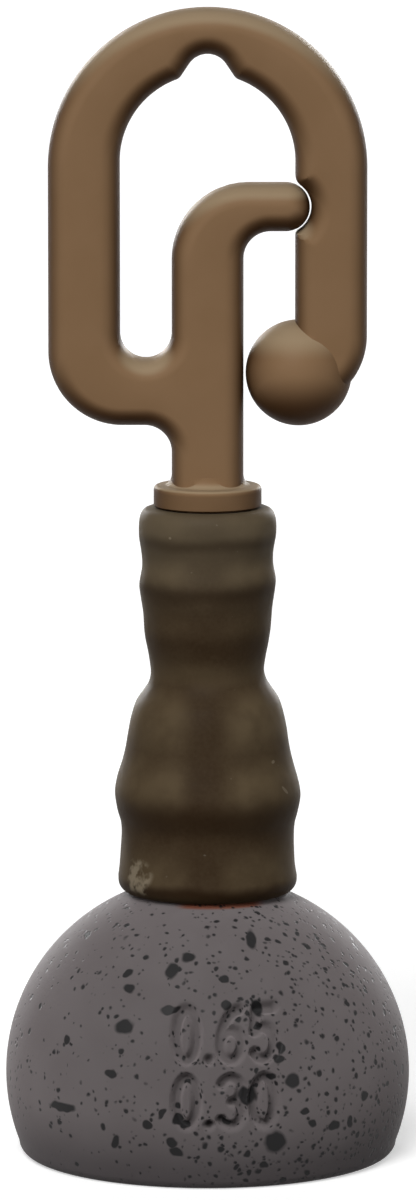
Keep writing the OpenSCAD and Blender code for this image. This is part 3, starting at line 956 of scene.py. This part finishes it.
def row_strokes(text, middle_z):
    width = sum(DIGITS[c][0] for c in text) + DIGIT_GAP * (len(text) - 1)
    x = ROW_MIDDLE - width / 2
    made = []
    for c in text:
        wide, strokes = DIGITS[c]
        for stroke in strokes:
            made.append(np.array(stroke) + (x, middle_z - DIGIT_H / 2))
        x += wide + DIGIT_GAP
    return made


def stroke_distance(points, strokes):
    best = np.full(len(points), 1e9)
    for stroke in strokes:
        for a, b in zip(stroke, stroke[1:]):
            along = b - a
            t = np.clip((points - a) @ along / (along @ along), 0, 1)[:, None]
            best = np.minimum(best, np.linalg.norm(points - a - t * along, axis=1))
    return best


def press_digits(points):
    """Sinks the plain numbers into the front of the dome."""
    strokes = [stroke for text, height in ROWS for stroke in row_strokes(text, height)]
    low, high = np.array(DIGIT_PATCH).T
    front = np.flatnonzero(np.all((points > low) & (points < high), axis=1))
    near = points[front]
    far = stroke_distance(near[:, [0, 2]], strokes)
    sunk = smooth_step(-far, -STROKE_HALF - STROKE_EDGE, -STROKE_HALF + STROKE_EDGE)
    depth = STROKE_DEPTH * sunk
    outward = near * (1 / WEIGHT_R ** 2, 1 / WEIGHT_R ** 2, 1 / EGG_H ** 2)
    outward[:, 2] -= BELLY_Z / EGG_H ** 2
    outward /= np.linalg.norm(outward, axis=1)[:, None]
    points[front] = near - outward * depth[:, None]
    return points


# The skin is finest where the numbers are
FINE_Z = (5.0, 18.8)
FINE_STEP = 0.13
PLAIN_STEP = 0.5
FINE_FRONT = (-17, 28)
FINE_TURN = 0.36
BASE_RINGS = [(0, 0), (6, 0), (12, 0)]
BASE_ROUND_STOP = -21  # degrees at which the round of the base meets the side


def make_weight():
    rim_r = WEIGHT_R * math.sqrt(1 - ((BELLY_Z - BASE_ROUND) / EGG_H) ** 2)
    low = math.asin((BASE_ROUND - BELLY_Z) / EGG_H)
    high = math.acos(SEAT_R / WEIGHT_R)
    profile = list(BASE_RINGS)
    profile += quarter(rim_r - BASE_ROUND, BASE_ROUND, BASE_ROUND, -90, BASE_ROUND_STOP, 10)
    a = low
    while a < high:
        z = BELLY_Z + EGG_H * math.sin(a)
        profile.append((WEIGHT_R * math.cos(a), z))
        step = FINE_STEP if FINE_Z[0] < z < FINE_Z[1] else PLAIN_STEP
        a += step / WEIGHT_R
    profile.append((SEAT_R, SEAT_Z))
    profile += eased(NECK_STATIONS)
    profile.append((0, NECK_STATIONS[-1][1]))
    angles = ring_angles(*FINE_FRONT, FINE_TURN, TURN_STEP)
    piece = turned("weight_skin", profile, angles, shape=press_digits)
    settle(piece, paint, sharp=50)
    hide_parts("weight_casting")
    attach(piece, "weight")


# ---- Sleeve ----

# Outside of the sleeve: radius and height, from above the lip to the shoulder
SLEEVE_SIDE = [
    (8.66, 27.3), (8.53, 28.2), (8.43, 29.4), (8.34, 31.2), (8.42, 32.5), (8.76, 33.8),
    (8.99, 35.4), (8.74, 36.9), (8.36, 38.2), (8.04, 39.4), (7.82, 40.5), (7.64, 41.7),
    (7.42, 42.9), (7.14, 43.9), (6.84, 44.6), (6.42, 45.2), (6.0, 45.8), (5.66, 46.4),
    (5.46, 47.3), (5.62, 48.6), (5.88, 49.9), (6.08, 51.2), (6.22, 53.2), (6.42, 54.5),
    (6.60, 55.8), (6.54, 56.5), (6.33, 57.6), (6.32, 58.6), (6.46, 59.6), (6.60, 60.5),
    (6.62, 61.6), (6.52, 62.4), (6.25, 62.95), (5.85, 63.2), (5.2, 63.27),
]
LIP_ROUND = 1.2
# Radius between the bore and the outside, at each height
WALL_HEIGHTS = [25, 33, 36, 43, 46, 52, 64]
WALL_RADII = [7.4, 7.4, 7.9, 6.3, 4.6, 5.0, 5.1]
# The skin is true up to the first height and above the last, and fully lumpy in between
LUMPY_HEIGHTS = (26.5, 29.5, 61.5, 63.0)
LUMP = 0.06
LUMPS_ROUND = 3.1
LUMPS_UP = 0.33
SMALL_LUMP = 0.012
SMALL_LUMPS_ROUND = 7.0
SMALL_LUMPS_UP = 0.9
SMALL_LUMPS_SHIFT = 9
RIB_WANDER = 0.22
RIB_TWIST = 0.12


def crease(points):
    """Soft lumps, and ribs that don't run quite level. The lip and the top stay true."""
    x, y, z = points.T
    radius = np.hypot(x, y)
    turn = np.arctan2(x, -y)
    outside = radius > np.interp(z, WALL_HEIGHTS, WALL_RADII)
    starts, full, fades, ends = LUMPY_HEIGHTS
    lumpy = smooth_step(z, starts, full) * smooth_step(-z, -ends, -fades)
    for i in np.flatnonzero(outside):
        c, s = math.cos(turn[i]), math.sin(turn[i])
        lump = noise.noise(Vector((LUMPS_ROUND * s, LUMPS_ROUND * c, z[i] * LUMPS_UP)))
        small = noise.noise(Vector((
            SMALL_LUMPS_ROUND * s + SMALL_LUMPS_SHIFT, SMALL_LUMPS_ROUND * c, z[i] * SMALL_LUMPS_UP
        )))
        grow = lumpy[i] * (LUMP * lump + SMALL_LUMP * small)
        points[i, 0] += s * grow
        points[i, 1] -= c * grow
        points[i, 2] += lumpy[i] * RIB_WANDER * math.sin(turn[i] + RIB_TWIST * z[i])
    return points


def make_sleeve():
    neck = [(r + STILL_FIT, z) for r, z in NECK_STATIONS]
    spigot = [(r + SLEEVE_FIT, z) for r, z in SPIGOT_STATIONS]
    spigot.append((SPIGOT_R + SLEEVE_FIT, SLEEVE_TOP_Z))
    profile = quarter(SEAT_R, SEAT_Z + LIP_ROUND, LIP_ROUND, -90, 0, 8)
    profile += flowing(SLEEVE_SIDE, 0.3)
    profile += eased(spigot)[::-1]
    profile += [(WAIST_BORE_R, TILT_Z + WAIST_RISE), (WAIST_BORE_R, TILT_Z)]
    profile += eased(neck)[::-1]
    piece = turned("sleeve_skin", profile, even_angles(TURN_STEP), closed=True, shape=crease)
    settle(piece, rubber, sharp=60)
    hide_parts("rubber_sleeve")
    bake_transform(piece)


# ---- Clip ----

FOOT_FLARE = 0.85
FOOT_RISE = 1.1
FLANGE_CHAMFER = 0.1
PIN_HOLE_HALF = 9
PIN_HOLE_STEP = 7.5
BALL_FINENESS = 6


def make_frame():
    piece = plate("clip_frame_skin", frame_outline())
    spigot = SPIGOT_STATIONS + [(SPIGOT_R, FLANGE_Z)]
    profile = [(0, BORE_ROOF_Z), (BORE_R, BORE_ROOF_Z), (BORE_R, spigot[0][1])]
    profile += eased(spigot)
    profile += [(FLANGE_R - FLANGE_CHAMFER, FLANGE_Z), (FLANGE_R, FLANGE_Z + FLANGE_CHAMFER)]
    profile += quarter(FLANGE_R - FLANGE_ROUND, CLIP_Z - FLANGE_ROUND, FLANGE_ROUND, 0, 90, 6)
    # the foot of the stem flares out in a hollow curve
    for t in np.linspace(0, 1, 9):
        a = math.radians(90 * t)
        foot_r = STEM_R + FOOT_FLARE * (1 - math.sin(a))
        profile.append((foot_r, CLIP_Z + FOOT_RISE * (1 - math.cos(a))))
    profile.append((0, CLIP_Z + FOOT_RISE))
    base = turned("clip_base", profile, even_angles(TURN_STEP))
    face_outwards(base)
    face_outwards(piece)
    join_or_cut(piece, base, "UNION")
    half = PIN_HOLE_HALF
    hole = turned("pin_hole", [(0, -half), (PIN_HOLE_R, -half), (PIN_HOLE_R, half), (0, half)],
                  even_angles(PIN_HOLE_STEP))
    face_outwards(hole)
    hole.data.transform(Matrix.Translation((0, 0, PIN_Z)) @ Matrix.Rotation(math.pi / 2, 4, "X"))
    join_or_cut(piece, hole, "DIFFERENCE")
    settle(piece, plastic, sharp=32)
    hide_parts("clip_body")
    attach(piece, "clip")


def make_gate():
    piece = plate("gate_skin", gate_outline())
    face_outwards(piece)
    skin = bmesh.new()
    bmesh.ops.create_icosphere(skin, subdivisions=BALL_FINENESS, radius=BALL_R)
    ball_mesh = bpy.data.meshes.new("ball")
    skin.to_mesh(ball_mesh)
    skin.free()
    ball = bpy.data.objects.new("ball", ball_mesh)
    scene.collection.objects.link(ball)
    ball_mesh.transform(Matrix.Translation((BALL_X, 0, BALL_Z)))
    join_or_cut(piece, ball, "UNION")
    settle(piece, plastic, sharp=24)
    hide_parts("gate_arm")
    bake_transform(piece)


make_weight()
make_sleeve()
make_frame()
make_gate()

# ---- Floor and light ----

FLOOR_HALF = 4.0  # metres
FLOOR_GLOW = 0.5
FLOOR_GREY = (0.1, 0.1, 0.1)  # what the floor throws back onto the part
FLOOR_SEEN = (0.8, 0.8, 0.8)
LAMP_REACH = 1.5  # metres


def seen_rays(tree):
    """1 for rays of the camera, of reflections and through glass, and 0 for the others."""
    rays = add_node(tree, "ShaderNodeLightPath")
    seen = calc(tree, "MAXIMUM", rays.outputs["Is Camera Ray"], rays.outputs["Is Glossy Ray"])
    return calc(tree, "MAXIMUM", seen, rays.outputs["Is Transmission Ray"])


def make_floor():
    """Pale floor. The camera sees it white, with the part's shadow."""
    material = bpy.data.materials.new("pale_floor")
    material.use_nodes = True
    tree = material.node_tree
    tree.nodes.clear()
    out = add_node(tree, "ShaderNodeOutputMaterial")
    seen = seen_rays(tree)
    matt = add_node(tree, "ShaderNodeBsdfDiffuse")
    feed(tree, matt.inputs["Color"], colour_mix(tree, seen, FLOOR_GREY, FLOOR_SEEN))
    glow = add_node(tree, "ShaderNodeEmission")
    feed(tree, glow.inputs["Strength"], calc(tree, "MULTIPLY", seen, FLOOR_GLOW))
    both = add_node(tree, "ShaderNodeAddShader")
    tree.links.new(matt.outputs[0], both.inputs[0])
    tree.links.new(glow.outputs[0], both.inputs[1])
    tree.links.new(both.outputs[0], out.inputs["Surface"])
    h = FLOOR_HALF
    floor = new_piece("floor", [(-h, -h, 0), (h, -h, 0), (h, h, 0), (-h, h, 0)], [(0, 1, 2, 3)])
    floor.data.materials.append(material)


def add_sun(name, side, height, level, spread):
    """Soft light from side degrees right of the front and height degrees up."""
    lamp = bpy.data.lights.new(name, "SUN")
    lamp.energy = level * math.pi
    lamp.angle = math.radians(spread)
    sun = bpy.data.objects.new(name, lamp)
    scene.collection.objects.link(sun)
    a, e = math.radians(side), math.radians(height)
    source = Vector((math.sin(a) * math.cos(e), -math.cos(a) * math.cos(e), math.sin(e)))
    sun.location = source * LAMP_REACH
    sun.rotation_euler = source.to_track_quat("Z", "Y").to_euler()


def make_world(level):
    """Even light from all round. The camera and reflections see it white."""
    world = bpy.data.worlds.new("studio")
    scene.world = world
    world.use_nodes = True
    tree = world.node_tree
    tree.nodes.clear()
    out = add_node(tree, "ShaderNodeOutputWorld")
    seen = seen_rays(tree)
    even = add_node(tree, "ShaderNodeBackground")
    even.inputs["Strength"].default_value = level
    white = add_node(tree, "ShaderNodeBackground")
    both = add_node(tree, "ShaderNodeMixShader")
    for socket in (even, white):
        socket.inputs["Color"].default_value = (1, 1, 1, 1)
    tree.links.new(seen, both.inputs["Fac"])
    tree.links.new(even.outputs[0], both.inputs[1])
    tree.links.new(white.outputs[0], both.inputs[2])
    tree.links.new(both.outputs[0], out.inputs["Surface"])


make_floor()
make_world(0.04)
add_sun("key", -15, 40, 0.84, 30)
add_sun("right_box", 50, 8, 0.18, 30)
add_sun("left_box", -52, 8, 0.14, 30)
add_sun("back_right", 158, 10, 0.44, 20)
add_sun("back_left", -158, 10, 0.44, 20)
